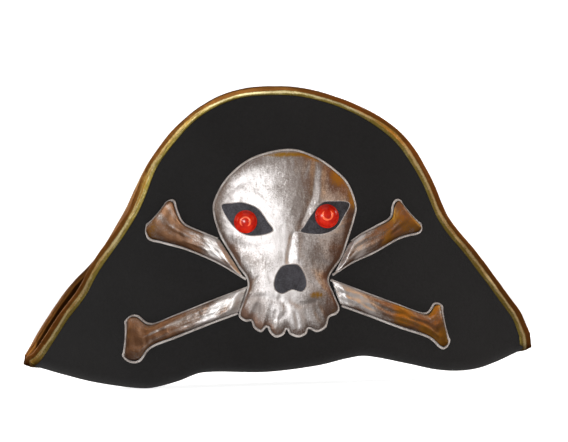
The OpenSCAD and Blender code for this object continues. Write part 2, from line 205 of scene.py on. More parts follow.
def finishPiece(name, bm):
    mesh = bpy.data.meshes.new(name)
    bm.to_mesh(mesh)
    bm.free()
    piece = bpy.data.objects.new(name, mesh)
    bpy.context.collection.objects.link(piece)
    for face in mesh.polygons:
        face.use_smooth = True
    return piece


def shapedGrid(name, columns, rows, place, uvSize=(1, 1), closed=True, fill=True, tone=None):
    # a grid bent into shape: place(u, v) gives each vertex in millimetres, tone(u, v) its painted reflection
    bm = bmesh.new()
    bmesh.ops.create_grid(bm, x_segments=columns, y_segments=rows, size=0.5)
    layer = bm.loops.layers.uv.new("UVMap")
    for face in bm.faces:
        for loop in face.loops:
            p = loop.vert.co
            loop[layer].uv = ((p.x + 0.5) * uvSize[0], (p.y + 0.5) * uvSize[1])
    # a colour attribute of painted reflection, read by the lamé's shader
    wear = bm.verts.layers.float_color.new("wear") if tone else None
    for v in bm.verts:
        at = min(max(v.co.x + 0.5, 0), 1), min(max(v.co.y + 0.5, 0), 1)
        v.co = Vector(place(*at)) * mm
        if tone:
            v[wear] = (*tone(*at), 1)
    if closed:
        bmesh.ops.remove_doubles(bm, verts=bm.verts[:], dist=2e-6)
        if fill:
            bmesh.ops.holes_fill(bm, edges=[e for e in bm.edges if e.is_boundary], sides=0)
        bmesh.ops.recalc_face_normals(bm, faces=bm.faces[:])
    return finishPiece(name, bm)


def dress(piece, look, nodes):
    piece.data.materials.append(look)
    if nodes:
        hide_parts(*nodes)


def finishSoft(piece, look, slotName, *nodes, side=front):
    # cloth on a flap: its material is added, the solids it stands for are hidden, and its transform is baked
    # into its mesh
    dress(piece, look, nodes)
    body = "front_flap" if side == front else "rear_flap"
    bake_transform(piece)


def finishRigid(piece, look, slotName, body, *nodes):
    dress(piece, look, nodes)
    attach(piece, body)


# Materials
class Wire:
    # a socket of a node tree; arithmetic on it adds Math nodes
    def __init__(self, tree, socket):
        self.tree, self.socket = tree, socket

    def node(self, kind, settings=None, inputs=None, output=0):
        made = self.tree.nodes.new(kind)
        for key, value in (settings or {}).items():
            if key == "stops":
                ramp = made.color_ramp.elements
                while len(ramp) < len(value):
                    ramp.new(0.5)
                for stop, (at, colour) in zip(ramp, value):
                    stop.position, stop.color = at, (*colour, 1)
            else:
                setattr(made, key, value)
        for key, value in (inputs or {}).items():
            if isinstance(value, Wire):
                self.tree.links.new(value.socket, made.inputs[key])
            else:
                made.inputs[key].default_value = value
        return Wire(self.tree, made.outputs[output])

    def math(self, operation, *values):
        return self.node("ShaderNodeMath", {"operation": operation}, dict(enumerate(values)))

    def __add__(self, other):
        return self.math("ADD", self, other)

    def __radd__(self, other):
        return self.math("ADD", other, self)

    def __sub__(self, other):
        return self.math("SUBTRACT", self, other)

    def __rsub__(self, other):
        return self.math("SUBTRACT", other, self)

    def __mul__(self, other):
        return self.math("MULTIPLY", self, other)

    def __rmul__(self, other):
        return self.math("MULTIPLY", other, self)

    def between(self, low, high):
        # 0 below low, 1 above high, smooth in the middle
        return self.node("ShaderNodeMapRange", {"interpolation_type": "SMOOTHSTEP"},
                         {"Value": self, "From Min": low, "From Max": high})

    def blendColours(self, a, b):
        # colour a where this is 0, colour b where it is 1
        made = self.node("ShaderNodeMix", {"data_type": "RGBA"}, {}, 2)
        node = made.socket.node
        for index, value in ((6, a), (7, b)):
            if isinstance(value, Wire):
                self.tree.links.new(value.socket, node.inputs[index])
            else:
                node.inputs[index].default_value = (*value, 1)
        self.tree.links.new(self.socket, node.inputs[0])
        return made

    def noise(self, scale, detail=3, rough=0.5, distort=0.0):
        return self.node("ShaderNodeTexNoise", {"noise_dimensions": "3D"},
                         {"Vector": self, "Scale": scale, "Detail": detail, "Roughness": rough,
                          "Distortion": distort})

    def bump(self, strength, distance, under=None):
        inputs = {"Height": self, "Strength": strength, "Distance": distance}
        if under:
            inputs["Normal"] = under
        return self.node("ShaderNodeBump", {}, inputs)

    def stretched(self, scale):
        return self.node("ShaderNodeMapping", {}, {"Vector": self, "Scale": scale})


def makeMaterial(name, build, **fixed):
    made = bpy.data.materials.new(name)
    made.use_nodes = True
    tree = made.node_tree
    shader = tree.nodes["Principled BSDF"]
    for key, value in fixed.items():
        shader.inputs[key.replace("_", " ")].default_value = value
    start = Wire(tree, None)
    place = start.node("ShaderNodeTexCoord", {}, {}, 3)  # Object coordinates, in metres
    flat = start.node("ShaderNodeUVMap", {"uv_map": "UVMap"})
    for socket, value in build(place, flat).items():
        tree.links.new(value.socket, shader.inputs[socket])
    return made


def feltLook(place, flat):
    fibre = place.noise(2600, 4, 0.7)
    tuft = place.noise(420, 3, 0.6, 0.6)
    patch = place.noise(14, 2)
    colour = (fibre * 0.5 + tuft * 0.3 + patch * 0.2).between(0.3, 0.75).blendColours(
        (0.004, 0.004, 0.0042), (0.0115, 0.0115, 0.0119))
    return {"Base Color": colour,
            "Roughness": 0.88 + 0.1 * tuft,
            "Normal": (fibre * 0.6 + tuft).bump(0.55, 0.0005)}


def liningLook(place, flat):
    warp = place.stretched((2200, 300, 300)).noise(1, 1)
    weft = place.stretched((300, 300, 2200)).noise(1, 1)
    crease = place.noise(45, 3, 0.5, 1.0)
    colour = (warp * weft * 2).between(0.3, 0.8).blendColours((0.008, 0.008, 0.009), (0.024, 0.024, 0.027))
    return {"Base Color": colour, "Roughness": 0.5 + 0.2 * crease,
            "Normal": crease.bump(0.4, 0.003, (warp + weft).bump(0.3, 0.0002))}


def foamLook(place, flat):
    cells = place.node("ShaderNodeTexVoronoi", {"feature": "F1"}, {"Vector": place, "Scale": 900})
    return {"Base Color": cells.between(0.1, 0.7).blendColours((0.09, 0.09, 0.09), (0.03, 0.03, 0.03)),
            "Roughness": 0.9 + 0.05 * cells, "Normal": cells.bump(0.6, 0.0006)}


def lameLook(light, dull, brown, amber, threads, alongPiece):
    # metal-coated jersey: a fine mottled knit with drawn threads, with painted reflections in its colour:
    # dull grey, brown and amber where the piece's wear attribute says
    def build(place, flat):
        # the attribute's three parts are painted grey, painted brown and painted amber reflection
        wear = place.node("ShaderNodeAttribute", {"attribute_name": "wear"}, {}, 1)
        paintedGrey, paintedBrown, paintedAmber = (wear.node("ShaderNodeSeparateXYZ", {}, {"Vector": wear}, part)
                                     for part in range(3))
        knit = place.noise(760, 4, 0.75)
        drag = place.noise(85, 3, 0.5, 0.9)
        rub = place.noise(60, 5, 0.65, 0.4)
        drawn = (flat if alongPiece else place).stretched(threads).noise(1, 3, 0.55, 0.3)
        speck = knit * 0.68 + drawn * 0.32
        # painted grey reflection, mottled by the knit and rub noise
        dim = (paintedGrey + (rub - 0.5) * 1.1 + (speck - 0.5) * 2.5).between(0.0, 1.0)
        colour = dim.blendColours(light, dull)
        # painted brown reflection, then painted amber reflection, both mottled by the knit
        paintedBrownMask = (paintedBrown + (rub - 0.5) * 0.8 + (speck - 0.5) * 1.3).between(0.2, 0.95)
        paintedAmberMask = (paintedAmber + (rub - 0.5) * 0.6 + (speck - 0.5) * 0.9).between(0.35, 0.85)
        colour = paintedAmberMask.blendColours(paintedBrownMask.blendColours(colour, brown), amber)
        return {"Base Color": colour,
                "Roughness": 0.33 + 0.14 * rub + 0.14 * knit,
                "Normal": drag.bump(0.2, 0.0022, speck.bump(0.5, 0.0005))}
    return build


def threadLook(place, flat):
    # satin stitch: threads lie across the band, side by side
    run = flat.node("ShaderNodeSeparateXYZ", {}, {"Vector": flat})
    strands = flat.math("SINE", run * (2 * math.pi / 0.0004))
    fleck = place.noise(700, 3, 0.7)
    tinting = place.noise(70, 3, 0.6)
    colour = (strands * 0.25 + fleck + (tinting - 0.5) * 1.2).between(0.1, 1.0).blendColours(
        (0.14, 0.11, 0.095), (0.6, 0.57, 0.55))
    return {"Base Color": colour, "Roughness": 0.32 + 0.15 * fleck, "Normal": strands.bump(0.3, 0.00012)}


def waddingLook(place, flat):
    fluff = place.noise(800, 5, 0.7, 1.5)
    return {"Base Color": fluff.between(0.3, 0.7).blendColours((0.62, 0.62, 0.6), (0.85, 0.85, 0.83)),
            "Roughness": 0.9 + 0.1 * fluff, "Normal": fluff.bump(0.8, 0.0012)}


def patchLook(place, flat):
    grain = place.noise(1100, 3, 0.7)
    smear = place.noise(60, 3, 0.6, 0.8)
    colour = (smear * 0.5 + grain * 0.6).between(0.35, 0.8).blendColours(
        (0.009, 0.009, 0.011), (0.07, 0.07, 0.085))
    return {"Base Color": colour,
            "Roughness": 0.5 + 0.2 * smear, "Normal": grain.bump(0.35, 0.0003)}


def lensLook(deep, clear):
    def build(place, flat):
        cloud = place.noise(130, 2)
        return {"Base Color": cloud.between(0.3, 0.7).blendColours(deep, clear),
                "Roughness": 0.08 + 0.06 * place.noise(600, 2),
                "Normal": place.noise(240, 2).bump(0.05, 0.0004)}
    return build


def plasticLook(place, flat):
    grain = place.noise(1800, 2)
    return {"Base Color": grain.between(0.2, 0.8).blendColours((0.012, 0.012, 0.013), (0.03, 0.03, 0.032)),
            "Roughness": 0.4 + 0.15 * grain, "Normal": grain.bump(0.2, 0.0001)}


def ribLook(place, flat):
    # grosgrain: ribs run up the band
    run = flat.node("ShaderNodeSeparateXYZ", {}, {"Vector": flat})
    ribs = flat.math("SINE", run * (2 * math.pi / 0.0011))
    thread = place.noise(1500, 2)
    return {"Base Color": (ribs * 0.25 + 0.5 * thread).between(0.0, 0.6).blendColours(
                (0.008, 0.008, 0.009), (0.028, 0.028, 0.03)),
            "Roughness": 0.55 + 0.2 * thread, "Normal": ribs.bump(0.8, 0.0003)}


felt = makeMaterial("blackFelt", feltLook, Sheen_Weight=0.05, Sheen_Roughness=0.7, Specular_IOR_Level=0.08)
lining = makeMaterial("blackLining", liningLook, Sheen_Weight=0.2, Specular_IOR_Level=0.3)
foam = makeMaterial("greyFoam", foamLook)
# each lamé: its own colour, then the colours of its painted grey, brown and amber reflections
goldLame = makeMaterial("goldLame", lameLook(
    (0.95, 0.85, 0.48), (0.36, 0.28, 0.06), (0.27, 0.11, 0.025), (0.66, 0.4, 0.08),
    (110, 700, 1), True), Metallic=1.0)
silverLame = makeMaterial("silverLame", lameLook(
    (0.92, 0.9, 0.9), (0.36, 0.32, 0.3), (0.25, 0.155, 0.115), (0.46, 0.25, 0.04),
    (600, 600, 110), False), Metallic=1.0)
boneLame = makeMaterial("boneLame", lameLook(
    (0.88, 0.86, 0.85), (0.4, 0.33, 0.29), (0.33, 0.18, 0.1), (0.52, 0.26, 0.045),
    (120, 500, 1), True), Metallic=1.0)
satinThread = makeMaterial("satinThread", threadLook, Sheen_Weight=0.3)
wadding = makeMaterial("whiteWadding", waddingLook, Sheen_Weight=0.4)
darkPatch = makeMaterial("charcoalPatch", patchLook, Specular_IOR_Level=0.25)
redLens = makeMaterial("redLens", lensLook((0.3, 0.004, 0.001), (0.5, 0.014, 0.003)),
                       Coat_Weight=0.25, Coat_Roughness=0.2, Specular_IOR_Level=0.2)
# lighter red of the eyes' rings: a painted highlight of the glint inside each dome
redRingGlint = makeMaterial("redLensRingGlint", lensLook((0.62, 0.06, 0.02), (0.85, 0.15, 0.06)),
                       Coat_Weight=0.4, Coat_Roughness=0.15)
blackPlastic = makeMaterial("blackPlastic", plasticLook)
grosgrain = makeMaterial("blackGrosgrain", ribLook, Sheen_Weight=0.15)
print("materials made")


# Felt, foam and lining of each flap, with the brim's base inside the crease
crownSeam = dict(halfWidth=82, halfLength=103)
layers = dict(columns=220, feltRows=76, innerColumns=150, innerRows=44, reach=219.4,
              feltDrop=1.4, innerDrop=1.8, gap=0.1)


def seamRun(x):
    # where the brim starts at x: at the crown's seam, or at the tip line beyond it
    if abs(x) >= crownSeam["halfWidth"]:
        return 0.0
    y = crownSeam["halfLength"] * math.sqrt(1 - (x / crownSeam["halfWidth"]) ** 2)
    low, d, r = foldAt(x)
    return min(y, d - r)


def slab(name, side, columns, rows, edge, fromRun, near, far, drop):
    # a closed layer of cloth between two depths behind the flap's outer face
    def place(u, v):
        x = (2 * u - 1) * layers["reach"]
        top = runTo(x, heightAt(edge, x) - drop)
        bottom = min(fromRun(x), top - 0.5)  # rows are shared out between the flat part, the turn and the flap
        t, outer = outAndBack(v)
        low, d, r = foldAt(x)
        turnStart = max(d - r, bottom + 0.02)
        turnEnd = max(min(d - r + r * math.pi / 2, top - 0.3), turnStart + 0.02)
        if t < 0.2:
            run = bottom + (turnStart - bottom) * t / 0.2
        elif t < 0.32:
            run = turnStart + (turnEnd - turnStart) * (t - 0.2) / 0.12
        else:
            run = turnEnd + (top - turnEnd) * (t - 0.32) / 0.68
        p = brimPoint(x, run, side)
        pinch = pinchAt(x, p.z, side)
        return p - brimNormal(x, run, side) * (near if outer else far) * pinch
    return shapedGrid(name, columns, rows * 2 + 1, place, (0.44, 0.7))


def addLayers(side, edge, word):
    t1 = brim["feltThick"]
    t2 = t1 + brim["foamThick"]
    t3 = t2 + brim["liningThick"]
    sheetFelt = slab("brimFelt" + word, side, layers["columns"], layers["feltRows"], edge, seamRun,
                     0, t1, layers["feltDrop"])
    low = word.lower() + "_flap_"
    finishSoft(sheetFelt, felt, "felt", low + "felt", "brim_base_left" if side == front else "brim_base_right",
               side=side)

    def fromTurn(x):
        z, d, r = foldAt(x)
        return d - r * 0.4

    def innerLayer(name, near, far):
        return slab(name + word, side, layers["innerColumns"], layers["innerRows"], edge, fromTurn,
                    near + layers["gap"], far, layers["innerDrop"])

    pieceFoam = innerLayer("flapFoam", t1, t2)
    finishSoft(pieceFoam, foam, "foam", low + "foam", side=side)
    pieceLining = innerLayer("flapLining", t2, t3)
    finishSoft(pieceLining, lining, "lining", low + "lining", side=side)
    return sheetFelt, pieceFoam, pieceLining


frontLayers = addLayers(front, frontEdge, "Front")
rearLayers = addLayers(rear, rearEdge, "Rear")
print("brim, foam and lining made")

# Gold binding: a strip folded over each edge, drawn tight in places and puffed in others
binding = dict(
    columns=900, around=30, widthTop=6.6, widthFlank=9.3, puff=0.9, crest=1.7,
    wrinkle=0.4, wrinkleLength=13.0, cloth=0.4, rearExtra=3.5,
)


def makePath(edge, side):
    # the bound edge as (x, run) from the tip line round to the tip line
    points = [(edge[0][0] - 0.9, 0.0)]
    xs = [edge[0][0] + (edge[-1][0] - edge[0][0]) * i / 400 for i in range(401)]
    points += [(x, runTo(x, heightAt(edge, x))) for x in xs]
    points.append((edge[-1][0] + 0.7, 0.0))
    places = [brimPoint(x, run, side) for x, run in points]
    length = [0.0]
    for a, b in zip(places, places[1:]):
        length.append(length[-1] + (b - a).length)
    return points, length


def pathAt(path, t):
    points, length = path
    low, k = spanAt(length, t * length[-1])
    a, b = points[low], points[low + 1]
    return a[0] + (b[0] - a[0]) * k, a[1] + (b[1] - a[1]) * k


def addBinding(side, edge, word):
    path = makePath(edge, side)
    total = path[1][-1]
    stations = {}

    def station(u):
        key = round(u, 6)
        if key in stations:
            return stations[key]
        x, run = pathAt(path, u)
        step = 2.5 / total
        xa, ra = pathAt(path, max(u - step, 0))
        xb, rb = pathAt(path, min(u + step, 1))
        a, b = brimPoint(xa, ra, side), brimPoint(xb, rb, side)
        p = brimPoint(x, run, side)
        n = brimNormal(x, run, side)
        along = (b - a).normalized()
        outward = along.cross(n) * side
        outward = (outward - n * outward.dot(n)).normalized()
        if outward.dot(Vector((x / 220, 0, 1))) < 0 and abs(x) < 218:
            outward = -outward
        flank = smoothStep(60, 125, abs(x))
        width = binding["widthTop"] + (binding["widthFlank"] - binding["widthTop"]) * flank
        width += 0.5 * noise.noise(Vector((u * total / 30, 3.0 * side, 1.0)))
        if side == rear:
            width += binding["rearExtra"] * smoothStep(-90, -135, x)
        stations[key] = (x, run, p, n, outward, width)
        return stations[key]

    def inward(x, run, outward, distance):
        # a point on the brim at a distance from its edge
        dz = -outward.z * distance
        dx = -outward.x * distance
        dy = -outward.y * distance
        low = foldAt(x + dx)[0]
        newRun = max(runTo(x + dx, max(low, brimPoint(x, run, side).z + dz)), 0)
        if run < 6:
            newRun = max(run - abs(dy) * 0.4 - abs(dz) * 0.3, 0)
        return x + dx, newRun

    def place(u, v):
        x, run, p, n, outward, width = station(u)
        pinch = pinchAt(x, p.z, side)
        thick = fullThick * pinch
        swing = u * total
        crumple = noise.noise(Vector((swing / binding["wrinkleLength"] + v * 2.2, v * 5, 4.0 * side)))
        fine = noise.noise(Vector((swing / 3.1 - v * 3.0, v * 9, 8.0 * side)))
        long = noise.noise(Vector((swing / 26, v * 6.5, 2.0 * side)))
        lift = binding["puff"] * (0.75 + 0.5 * long)
        rough = binding["wrinkle"] * (crumple + 0.35 * fine)
        if v < 0.4 or v > 0.6:
            t = v / 0.4 if v < 0.4 else (1 - v) / 0.4
            distance = width * (1 - t)
            qx, qrun = inward(x, run, outward, distance)
            q = brimPoint(qx, qrun, side)
            qn = brimNormal(qx, qrun, side)
            body = (1 - (1 - t) ** 4) if t < 1 else 1
            off = 0.3 + (lift + rough) * min(1, t * 5) * (0.55 + 0.45 * body)
            if v < 0.4:
                return q + qn * off
            inner = fullThick * pinchAt(qx, q.z, side)
            return q - qn * (inner + off)
        a = (v - 0.4) / 0.2 * math.pi
        centre = p - n * (thick / 2)
        off = 0.3 + lift + rough
        reach = binding["crest"] + 0.5 * rough
        return centre + n * math.cos(a) * (thick / 2 + off) + outward * math.sin(a) * reach

    def wear(u, v):
        # painted reflection: olive where it lies flat, a painted highlight line, then painted brown reflection
        # over the crest
        swing = u * total
        slow = noise.noise(Vector((swing / 38, 2.0 * side, v * 2.5)))
        quick = noise.noise(Vector((swing / 9, 6.0 * side, v * 3)))
        across = min(v, 1 - v) + 0.05 * slow + 0.02 * quick
        # painted highlight: a bright line along the band
        paintedHighlight = math.exp(-((across - 0.17) / 0.05) ** 2)
        return (0.95 - paintedHighlight - 0.2 * quick,
                0.95 * smoothStep(0.19, 0.27, across) + 0.12 - 0.3 * paintedHighlight + 0.3 * slow,
                0.1 + 0.35 * paintedHighlight - 0.7 * slow)

    piece = shapedGrid("binding" + word, binding["columns"], binding["around"], place,
                       (total * mm, 0.03), closed=False, tone=wear)
    if side == rear:
        piece.data.flip_normals()
    wall = piece.modifiers.new("cloth", "SOLIDIFY")
    wall.thickness, wall.offset = binding["cloth"] * mm, -1
    finishSoft(piece, goldLame, "gold_lame", word.lower() + "_binding", side=side)
    return piece, total


frontBinding, frontRun = addBinding(front, frontEdge, "Front")
rearBinding, rearRun = addBinding(rear, rearEdge, "Rear")
print("bindings made:", round(frontRun), "and", round(rearRun), "mm long")


# Emblem
emblem = dict(
    pad=5.5, bonePad=4.4, stitchWidth=2.3, stitchHeight=1.15, stitchPitch=0.8, stitchInset=1.1,
    stitchSides=16, cover=0.6, centre=(10, 105), boneStart=-0.026, boneEnd=0.972,
    around=420, rings=52, pucker=0.4, crinkle=0.5,
)
skullLine = [
    (16, 191.5), (38.5, 184.5), (55.5, 172.5), (67, 159.5), (73, 141), (71, 129), (65.5, 113),
    (59, 96), (47.5, 79), (51, 65), (55.5, 53), (53, 47.5), (46.5, 44.5), (43.5, 36.5), (35.5, 32.5),
    (28.5, 35.5), (26, 31), (19, 28.5), (12, 31.5), (9.5, 35.5), (6.5, 31), (0, 29), (-5, 33),
    (-7.5, 38), (-12.5, 34), (-18.5, 37.5), (-21, 43.5), (-26, 43.5), (-31.5, 49), (-27.5, 61),
    (-23, 74), (-24.5, 82), (-29.5, 89), (-36.5, 101.5), (-45.5, 118), (-51, 139),
    (-48, 153), (-36, 170.5), (-14.5, 185.5),
]
leftPatchLine = [
    (66, 142.5), (51, 144.5), (42, 143), (33.5, 134), (26.5, 123.5), (24, 118.5),
    (40, 116), (53, 120.5), (61, 131.5),
]
rightPatchLine = [
    (-43, 143.5), (-33, 145.5), (-24, 145.5), (-12, 140), (-4, 128.5), (0, 120),
    (-13, 116.5), (-25, 118.5), (-35, 128),
]
noseLine = [
    (6, 89), (13, 91), (20.5, 90), (25.5, 82), (27, 72.5), (22.5, 67), (14.5, 69),
    (6, 66), (0, 70.5), (0.5, 80),
]
bones = [
    [[(-48.5, 117), (-62, 123), (-75.5, 130), (-80.5, 139), (-84, 149), (-91, 150.5)],
     [(-27, 80.5), (-48, 94), (-74, 106), (-95, 112.5), (-107, 117), (-111, 129)]],
    [[(-26, 73), (-56, 62.5), (-86, 51.5), (-107, 44.5), (-120, 51), (-131, 49)],
     [(-34.5, 49), (-58, 41), (-85, 31), (-108, 22.5), (-119, 11), (-134.5, 14)]],
    [[(68.5, 111.5), (78, 117.5), (90, 123.5), (101.5, 130), (104, 140), (110.5, 146.5)],
     [(53, 81.5), (68, 90.5), (88, 99), (108, 109.5), (126, 115), (131, 121.5)]],
    [[(51.5, 77), (78, 66), (105, 55), (129, 46), (138, 53), (145.5, 54)],
     [(59.5, 52.5), (82, 43.5), (107, 33), (131, 24), (143, 14.5), (152, 18)]],
]


def curvePoint(a, b, c, d, t):
    return tuple(0.5 * (2 * q + (r - p) * t + (2 * p - 5 * q + 4 * r - s) * t * t
                        + (3 * q - p - 3 * r + s) * t ** 3) for p, q, r, s in zip(a, b, c, d))


class Line:
    # a smooth line through points on the flap, read by the share of its length
    def __init__(self, points, closed, steps=14):
        n = len(points)
        dense = []
        for i in range(n if closed else n - 1):
            if closed:
                four = [points[(i + k) % n] for k in (-1, 0, 1, 2)]
            else:
                four = [points[min(max(i + k, 0), n - 1)] for k in (-1, 0, 1, 2)]
            dense += [curvePoint(*four, s / steps) for s in range(steps)]
        dense.append(points[0] if closed else points[-1])
        self.closed, self.dense, self.length = closed, dense, [0.0]
        for a, b in zip(dense, dense[1:]):
            self.length.append(self.length[-1] + math.dist(a, b))

    def at(self, t):
        low, k = spanAt(self.length, t * self.length[-1])
        a, b = self.dense[low], self.dense[low + 1]
        return a[0] + (b[0] - a[0]) * k, a[1] + (b[1] - a[1]) * k

    def leftAt(self, t):
        # unit direction to the left of the line
        e = 0.7 / self.length[-1]
        if self.closed:
            a, b = self.at((t - e) % 1), self.at((t + e) % 1)
        else:
            a, b = self.at(max(t - e, 0)), self.at(min(t + e, 1))
        w = math.dist(a, b) or 1
        return -(b[1] - a[1]) / w, (b[0] - a[0]) / w

    def distance(self, x, z):
        best = 1e9
        for a, b in zip(self.dense, self.dense[1:]):
            dx, dz = b[0] - a[0], b[1] - a[1]
            k = min(max(((x - a[0]) * dx + (z - a[1]) * dz) / max(dx * dx + dz * dz, 1e-9), 0), 1)
            best = min(best, math.hypot(x - a[0] - k * dx, z - a[1] - k * dz))
        return best


skullEdge = Line(skullLine, True)
centreX, centreZ = emblem["centre"]
reachTable = sorted((math.atan2(z - centreZ, x - centreX), math.hypot(x - centreX, z - centreZ))
                    for x, z in skullEdge.dense[:-1])
reachAngles = [angle for angle, reach in reachTable]


def skullReach(angle):
    # distance from the skull's middle to its edge in one direction
    if angle <= reachAngles[0] or angle >= reachAngles[-1]:
        return reachTable[0][1]
    low, k = spanAt(reachAngles, angle)
    return reachTable[low][1] + (reachTable[low + 1][1] - reachTable[low][1]) * k


# Folds of the skull's cover: a line, its half width and its depth (a ridge if negative)
folds = [
    ([(38, 182), (37, 166), (35, 150), (30, 138), (24, 124)], 2.6, 0.9),
    ([(44, 179), (43, 165), (40, 147)], 2.8, -0.8),
    ([(16, 116), (14, 105), (12, 94)], 1.8, 0.9),
    ([(21, 115), (21, 105), (20, 96)], 2.6, -0.6),
    ([(-36, 112), (-20, 106), (-4, 104)], 4.5, 0.4),
    ([(-44, 150), (-30, 160), (-20, 166)], 3.0, 0.35),
    ([(-34, 132), (-28, 150)], 3.0, 0.3),
    ([(4, 62), (10, 52), (4, 44)], 2.2, 0.6),
    ([(14, 60), (22, 56), (34, 58)], 2.4, 0.7),
    ([(0, 50), (-2, 40)], 1.9, 0.6),
    ([(17, 48), (19, 38)], 1.9, 0.5),
    ([(34, 50), (38, 42)], 2.0, 0.5),
    ([(-14, 56), (-16, 44)], 2.0, 0.6),
    ([(-26, 62), (-10, 64), (2, 60)], 2.8, 0.5),
    ([(60, 118), (52, 100), (44, 84)], 4.0, 0.4),
]
foldLines = [(Line(points, False, 4), width, depth) for points, width, depth in folds]


def crinkleAt(x, z, seed):
    a = noise.noise(Vector((x / 15, z / 19, seed)))
    b = 1 - abs(noise.noise(Vector((x / 8 + 3, z / 10, seed + 4)))) * 3
    c = noise.noise(Vector((x / 4.2, z / 4.8, seed + 9)))
    return a + 0.12 * b + 0.08 * c


def skullHeight(x, z):
    # how far the skull's cover stands off the felt
    dx, dz = x - centreX, z - centreZ
    angle = math.atan2(dz, dx)
    reach = skullReach(angle)
    s = min(math.hypot(dx, dz) / reach, 1)
    puff = (1 - s ** 5) ** 0.75
    inside = 1 - s ** 8
    ring = smoothStep(0.62, 0.9, s) * (1 - smoothStep(0.95, 1, s))
    drawn = noise.noise(Vector((math.cos(angle) * reach / 5.5, math.sin(angle) * reach / 5.5, s * 1.5)))
    h = 0.5 + emblem["pad"] * puff + inside * emblem["crinkle"] * crinkleAt(x, z, 2.0)
    h += emblem["pucker"] * ring * drawn
    for line, width, depth in foldLines:
        box = line.dense
        if min(p[0] for p in box) - 9 < x < max(p[0] for p in box) + 9 and (
                min(p[1] for p in box) - 9 < z < max(p[1] for p in box) + 9):
            d = line.distance(x, z) / width
            if d < 3:
                h -= depth * math.exp(-d * d) * inside
    return max(h, 0.45)


# Painted reflection on the skull's cover: middle, width, height and strength of each grey, brown or amber area
# of painted reflection
greyReflectionAreas = [
    (14, 168, 18, 22, 0.55), (20, 146, 12, 22, 0.5), (38, 160, 13, 28, 0.7), (-44, 138, 6, 26, 0.55),
    (24, 124, 9, 14, 0.6), (-16, 46, 18, 12, 0.75), (34, 98, 12, 22, 0.75), (4, 38, 12, 8, 0.6),
    (38, 54, 14, 16, 0.75), (-24, 98, 12, 9, 0.65), (-18, 76, 8, 10, 0.5), (-30, 158, 14, 4, 0.3),
    (0, 178, 30, 7, 0.5), (-24, 146, 12, 5, 0.35), (28, 60, 8, 8, 0.4), (-8, 92, 10, 8, 0.55),
    (-28, 112, 9, 6, 0.5), (-18, 62, 12, 8, 0.7), (8, 152, 7, 10, 0.25), (-6, 54, 8, 6, 0.3),
]
brownReflectionAreas = [
    (30, 158, 5, 24, 0.55), (54, 158, 11, 18, 0.85), (66, 128, 7, 22, 0.8), (52, 100, 9, 24, 0.8),
    (-34, 100, 7, 18, 0.85), (-26, 74, 8, 10, 0.7), (-27, 50, 7, 9, 0.8), (-14, 42, 11, 8, 0.5),
    (24, 33, 18, 4, 0.4), (44, 76, 8, 12, 0.6), (46, 56, 9, 12, 0.55), (-6, 34, 12, 5, 0.45),
    (23, 126, 5, 14, 0.5), (36, 104, 5, 14, 0.35),
]
amberReflectionAreas = [(58, 166, 10, 12, 0.8), (69, 146, 6, 14, 0.75), (36, 64, 10, 4, 0.75), (14, 186, 24, 3, 0.7),
              (40, 182, 10, 5, 0.7), (50, 48, 4, 10, 0.5)]


def reflectionFrom(areas, x, z):
    return sum(k * math.exp(-((x - ax) / w) ** 2 - ((z - az) / h) ** 2) for ax, az, w, h, k in areas)


def skullPaintedReflection(x, z, s):
    # painted reflection: grey and brown at the rim where the puff slopes away, amber along the top
    rimPaintedReflection = smoothStep(0.86, 1.0, s)
    top = smoothStep(172, 188, z)
    return (min(reflectionFrom(greyReflectionAreas, x, z) + 0.6 * rimPaintedReflection, 1), min(reflectionFrom(brownReflectionAreas, x, z) + 0.4 * rimPaintedReflection, 1),
            min(reflectionFrom(amberReflectionAreas, x, z) + 0.2 * rimPaintedReflection * top, 1))


def radialSlab(name, line, around, rings, centre, inset, over, under, tinting=None):
    # a closed pad or patch: out from its middle over the top, and back underneath
    def spot(u, v):
        if u > 0.9999:
            u = 0.0
        x, z = line.at(u)
        lx, lz = line.leftAt(u)
        x, z = x - lx * inset, z - lz * inset
        top = v <= 0.5
        t = v * 2 if top else 2 - v * 2
        s = 1 - (1 - t) ** 1.5
        return centre[0] + (x - centre[0]) * s, centre[1] + (z - centre[1]) * s, s, top

    def place(u, v):
        x, z, s, top = spot(u, v)
        return onFlap(x, z, over(x, z, s) if top else under(x, z, s))

    # painted reflection of each vertex, when tinting gives it
    def wear(u, v):
        return tinting(*spot(u, v)[:3])
    return shapedGrid(name, around, rings * 2 + 1, place, (0.5, 0.08), fill=False,
                      tone=wear if tinting else None)


skullCover = radialSlab(
    "skullCover", skullEdge, emblem["around"], emblem["rings"], emblem["centre"],
    0.9 + emblem["stitchInset"], lambda x, z, s: skullHeight(x, z),
    lambda x, z, s: skullHeight(x, z) - emblem["cover"] * min(1, 0.5 + 2 * (1 - s)), tinting=skullPaintedReflection)
finishSoft(skullCover, silverLame, "silver_lame", "skull_cover")
skullPad = radialSlab(
    "skullWadding", skullEdge, 200, 26, emblem["centre"], 2.6 + emblem["stitchInset"],
    lambda x, z, s: max(skullHeight(x, z) - emblem["cover"] - 0.5, 0.35), lambda x, z, s: 0.15)
finishSoft(skullPad, wadding, "wadding", "skull_padding")
print("skull made")


